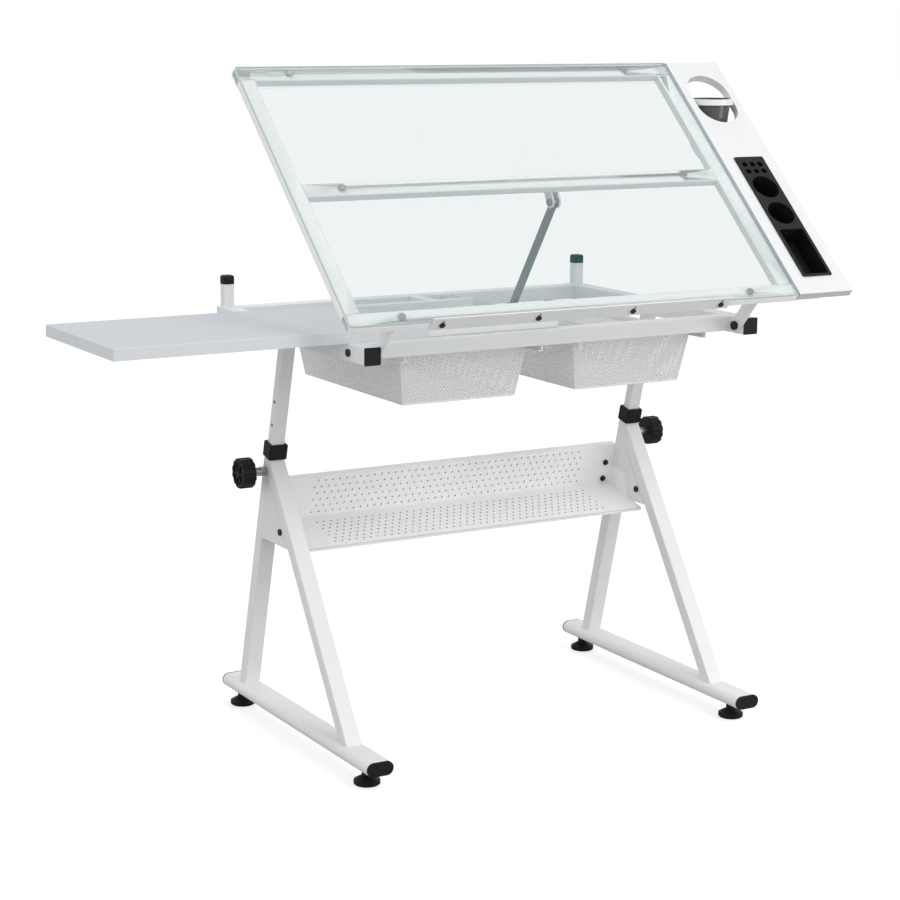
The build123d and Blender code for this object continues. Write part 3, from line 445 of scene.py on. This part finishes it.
def add_diamond(vertices, faces, corners):
    """One rhombic cell as a frame of four quads round a smaller rhombic hole."""
    middle = sum(corners, Vector()) / 4
    base = len(vertices)
    vertices += corners
    vertices += [middle.lerp(corner, HOLE_SHARE) for corner in corners]
    for k in range(4):
        n = (k + 1) % 4
        faces.append((base + k, base + n, base + 4 + n, base + 4 + k))


def net_between(top, bottom, rows):
    """Lattice of rhombic holes between two loops of equal even count, closed along both loops."""
    count = len(top)
    vertices, faces = [], []

    def place(i, j):
        return top[i % count].lerp(bottom[i % count], j / rows)

    for j in range(1, rows):
        for i in range(j % 2, count, 2):
            corners = [place(i, j - 1), place(i - 1, j), place(i, j + 1), place(i + 1, j)]
            add_diamond(vertices, faces, corners)
    for j, inner in ((0, 1), (rows, rows - 1)):
        for i in range(0, count, 2):
            base = len(vertices)
            vertices += [place(i - 1, j), place(i + 1, j), place(i, inner)]
            faces.append((base, base + 1, base + 2))
    return vertices, faces


def net_flat(centre, half_x, half_y, z, cell):
    """Lattice of rhombic holes over a flat rectangle with cut corners."""
    columns, lines = int(half_x / cell), int(half_y / cell)
    reach = columns + lines - int(FLAT_CORNER_CUT * BASKET_FOOT_CORNER / cell)
    vertices, faces = [], []
    for j in range(-lines, lines + 1):
        for i in range(-columns, columns + 1):
            if (i + j) % 2 == 0 and abs(i) + abs(j) <= reach:
                x, y = centre[0] + i * cell, centre[1] + j * cell
                ways = ((0, -cell), (cell, 0), (0, cell), (-cell, 0))
                add_diamond(vertices, faces, [Vector((x + dx, y + dy, z)) for dx, dy in ways])
    return vertices, faces


def make_basket(side):
    """Net, folded rim, foot wire and corner wires of one basket, sized by its CAD box."""
    low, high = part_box(f"basket_{side}")
    body, slot = f"drawer_{side}", "mesh_steel"
    centre = ((low.x + high.x) / 2, (low.y + high.y) / 2)
    half_x, half_y = (high.x - low.x) / 2 - BASKET_INSET, (high.y - low.y) / 2 - BASKET_INSET

    def loop(inset, corner, z, count):
        return rounded_loop(centre, half_x - inset, half_y - inset, corner, z, count)

    count = 2 * int(4 * (half_x + half_y) / MESH_CELL / 2)
    rows = 2 * int((high.z - low.z) / MESH_CELL / 2)
    top = loop(NET_TUCK, BASKET_CORNER, high.z - NET_DROP, count)
    foot = loop(BASKET_TAPER, BASKET_FOOT_CORNER, low.z + NET_LIFT, count)
    flat_inset = BASKET_TAPER + MESH_CELL
    flat = net_flat(centre, half_x - flat_inset, half_y - flat_inset, low.z + NET_LIFT, MESH_CELL)
    net = new_piece(f"basket_{side}_mesh", *joined(net_between(top, foot, rows), flat), slot, body, slot)
    weld(net, NET_WELD)
    sheet = net.modifiers.new("sheet", "SOLIDIFY")
    sheet.thickness, sheet.offset = MESH_SHEET, 0.0
    apply_modifiers(net)
    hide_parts(f"basket_{side}")

    profile = [(out * MM, up * MM) for out, up in RIM_PROFILE]
    rim_loop = loop(0.0, BASKET_CORNER, high.z, RIM_POINTS)
    smooth(new_piece(f"basket_{side}_rim", *swept_ring(rim_loop, profile), slot, body, slot))

    angles = [2 * pi * k / WIRE_SIDES for k in range(WIRE_SIDES)]
    circle = [(FOOT_WIRE * cos(angle), FOOT_WIRE * sin(angle)) for angle in angles]
    wire_loop = loop(BASKET_TAPER, BASKET_FOOT_CORNER, low.z + WIRE_LIFT, RIM_POINTS)
    smooth(new_piece(f"basket_{side}_foot_wire", *swept_ring(wire_loop, circle[::-1]), slot, body, slot))

    wires = []
    for way_x, way_y in ((1, 1), (-1, 1), (-1, -1), (1, -1)):
        ends = []
        for inset, corner, z in ((NET_TUCK, BASKET_CORNER, high.z - WIRE_DROP),
                                 (BASKET_TAPER, BASKET_FOOT_CORNER, low.z + WIRE_LIFT)):
            reach = inset + corner * (1 - cos(pi / 4))
            x, y = centre[0] + way_x * (half_x - reach), centre[1] + way_y * (half_y - reach)
            ends.append(Vector((x, y, z)))
        wires.append(rod(*ends, CORNER_WIRE))
    smooth(new_piece(f"basket_{side}_corner_wires", *joined(*wires), "white_steel", body, slot))


# ---------------------------------------------------------------- perforated shelf: folded sheet
HOLE_PITCH, ROW_PITCH, HOLE_RADIUS, HOLE_SIDES = 14.5 * MM, 12.8 * MM, 2.0 * MM, 16
PERFORATED_MARGIN = 70 * MM
SHELF_SHEET, SHELF_WELD, HOLE_MOUTH = 1.5 * MM, 0.2 * MM, 0.45
WALL_FIRST_ROW, WALL_ROWS = 3 * MM, 6
FLOOR_FIRST_ROW, FLOOR_ROWS = 20 * MM, 7
TOP_LIP, FRONT_LIP = 12 * MM, 6 * MM
TAB_FOOT, TAB_HEAD, TAB_TALL = 70 * MM, 48 * MM, 40 * MM


def perforated(origin, across, up, width, height, first_row, rows):
    """Sheet from origin, `width` across and `height` up, with staggered rows of round holes.

    Returns its vertices, its faces and the holes' centres. Each hole sits in a tile of eight five-sided
    faces, so it has two sides per face, sixteen in all.
    """
    columns = int((width - 2 * PERFORATED_MARGIN) / HOLE_PITCH)
    start = (width - columns * HOLE_PITCH) / 2
    vertices, faces, centres, index = [], [], [], {}

    def vertex(x, y):
        """The one vertex at x, y on the sheet, to the nearest micrometre."""
        key = (round(x * 1e6), round(y * 1e6))
        if key not in index:
            index[key] = len(vertices)
            vertices.append(origin + across * x + up * y)
        return index[key]

    half = HOLE_PITCH / 2
    for row in range(rows):
        low, high = first_row + row * ROW_PITCH, first_row + (row + 1) * ROW_PITCH
        middle, offset = (low + high) / 2, half * (row % 2)
        for column in range(columns - (row % 2)):
            left = start + offset + column * HOLE_PITCH
            right, centre = left + HOLE_PITCH, left + half
            tile = ((right, middle), (right, high), (centre, high), (left, high),
                    (left, middle), (left, low), (centre, low), (right, low))
            border = [vertex(x, y) for x, y in tile]
            centres.append(origin + across * centre + up * middle)
            angles = [2 * pi * k / HOLE_SIDES for k in range(HOLE_SIDES)]
            hole = [vertex(centre + HOLE_RADIUS * cos(a), middle + HOLE_RADIUS * sin(a)) for a in angles]
            for k in range(len(border)):
                ring = [hole[(2 * k + j) % HOLE_SIDES] for j in (2, 1, 0)]
                faces.append([border[k], border[(k + 1) % len(border)], *ring])
        finish = start + columns * HOLE_PITCH
        if row % 2:
            for x, inner in ((start, start + half), (finish, finish - half)):
                blank = [vertex(x, low), vertex(inner, low), vertex(inner, middle), vertex(inner, high),
                         vertex(x, high), vertex(x, middle)]
                faces.append(blank if x == start else blank[::-1])
        seam_left = [vertex(start, y) for y in (low, middle, high)]
        faces.append([vertex(0, low), *seam_left, vertex(0, high)])
        seam_right = [vertex(finish, y) for y in (high, middle, low)]
        faces.append([vertex(width, high), *seam_right, vertex(width, low)])
    last_row = first_row + rows * ROW_PITCH
    for seam, far in ((first_row, 0.0), (last_row, height)):
        line = [vertex(start + k * half, seam) for k in range(2 * columns + 1)]
        line = [vertex(0, seam), *line, vertex(width, seam)]
        far_left, far_right = vertex(0, far), vertex(width, far)
        if seam == first_row:
            faces.append([far_left, far_right, *line[::-1]])
        else:
            faces.append([*line, far_right, far_left])
    return vertices, faces, centres


def punched_lips(centres, across, up, front):
    """The turned-in lip of each punched hole, a short cone narrowing from the front face to the back."""
    vertices, faces = [], []
    for centre in centres:
        base = len(vertices)
        for share, depth in ((1.0, SHELF_SHEET / 2), (HOLE_MOUTH, -SHELF_SHEET / 2)):
            for k in range(HOLE_SIDES):
                angle = 2 * pi * k / HOLE_SIDES
                outward = across * cos(angle) + up * sin(angle)
                vertices.append(centre + outward * (HOLE_RADIUS * share) + front * depth)
        for k in range(HOLE_SIDES):
            n = (k + 1) % HOLE_SIDES
            faces.append((base + k, base + n, base + HOLE_SIDES + n, base + HOLE_SIDES + k))
    return vertices, faces


def plate(sides):
    """Flat four-cornered plate from its corners on one side and the same corners on the other."""
    faces = [(3, 2, 1, 0), (4, 5, 6, 7), (0, 1, 5, 4), (1, 2, 6, 5), (2, 3, 7, 6), (3, 0, 4, 7)]
    return [*sides[0], *sides[1]], faces


def make_shelf():
    """Back wall, floor, folded lips and end tabs, from the CAD shelf's extent along the leaning legs."""
    low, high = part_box("perforated_shelf")
    width, half_sheet = high.x - low.x, SHELF_SHEET / 2
    origin, across = Vector((low.x, 0.0, 0.0)), Vector((1, 0, 0))
    points = [vertex.co for vertex in frame["nodes"]["perforated_shelf"].data.vertices]
    backs = [point.dot(leg_back) for point in points]
    alongs = [point.dot(leg_up) for point in points]
    front, lip_back, foot, top = min(backs), max(backs), min(alongs), max(alongs)
    wall, bend = lip_back - TOP_LIP, foot + FRONT_LIP

    def at(back, along, right=0.0):
        return origin + leg_back * back + leg_up * along + across * right

    def strip(*ends):
        """Full-width strip between two lines across the shelf."""
        (back_a, along_a), (back_b, along_b) = ends
        corners = [at(back_a, along_a), at(back_a, along_a, width),
                   at(back_b, along_b, width), at(back_b, along_b)]
        return corners, [(0, 1, 2, 3)]

    fold = at(wall - half_sheet, bend)
    wall_vertices, wall_faces, wall_holes = perforated(
        fold, across, leg_up, width, top - bend, WALL_FIRST_ROW, WALL_ROWS)
    floor_vertices, floor_faces, floor_holes = perforated(
        fold, across, -leg_back, width, wall - front - SHELF_SHEET, FLOOR_FIRST_ROW, FLOOR_ROWS)
    holes = joined(punched_lips(wall_holes, across, leg_up, -leg_back),
                   punched_lips(floor_holes, across, -leg_back, leg_up))
    slot = "shelf_steel"
    new_piece("perforated_shelf_holes", *holes, "hole_shade", "base", slot)

    sheet = joined((wall_vertices, wall_faces),
                   (floor_vertices, [face[::-1] for face in floor_faces]),
                   strip((wall - half_sheet, top), (lip_back, top)),
                   strip((front + SHELF_SHEET, bend), (front + SHELF_SHEET, foot)))
    shelf = new_piece("perforated_shelf_sheet", *sheet, slot, "base", slot)
    weld(shelf, SHELF_WELD)
    thick = shelf.modifiers.new("sheet", "SOLIDIFY")
    thick.thickness, thick.offset = SHELF_SHEET, 0.0
    apply_modifiers(shelf)
    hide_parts("perforated_shelf")

    outline = ((wall - TAB_FOOT, bend), (wall, bend),
               (wall, bend + TAB_TALL), (wall - TAB_HEAD, bend + TAB_TALL))
    tabs = []
    for left in (0.0, width - SHELF_SHEET):
        sides = [[at(*corner, right) for corner in outline] for right in (left, left + SHELF_SHEET)]
        tabs.append(plate(sides))
    smooth(new_piece("perforated_shelf_tabs", *joined(*tabs), slot, "base", slot))


make_camera()
make_world()
for light in LIGHTS:
    area_light(*light)
make_floor()
finish_cad_nodes()
make_panels()
for side in ("left", "right"):
    make_basket(side)
make_shelf()
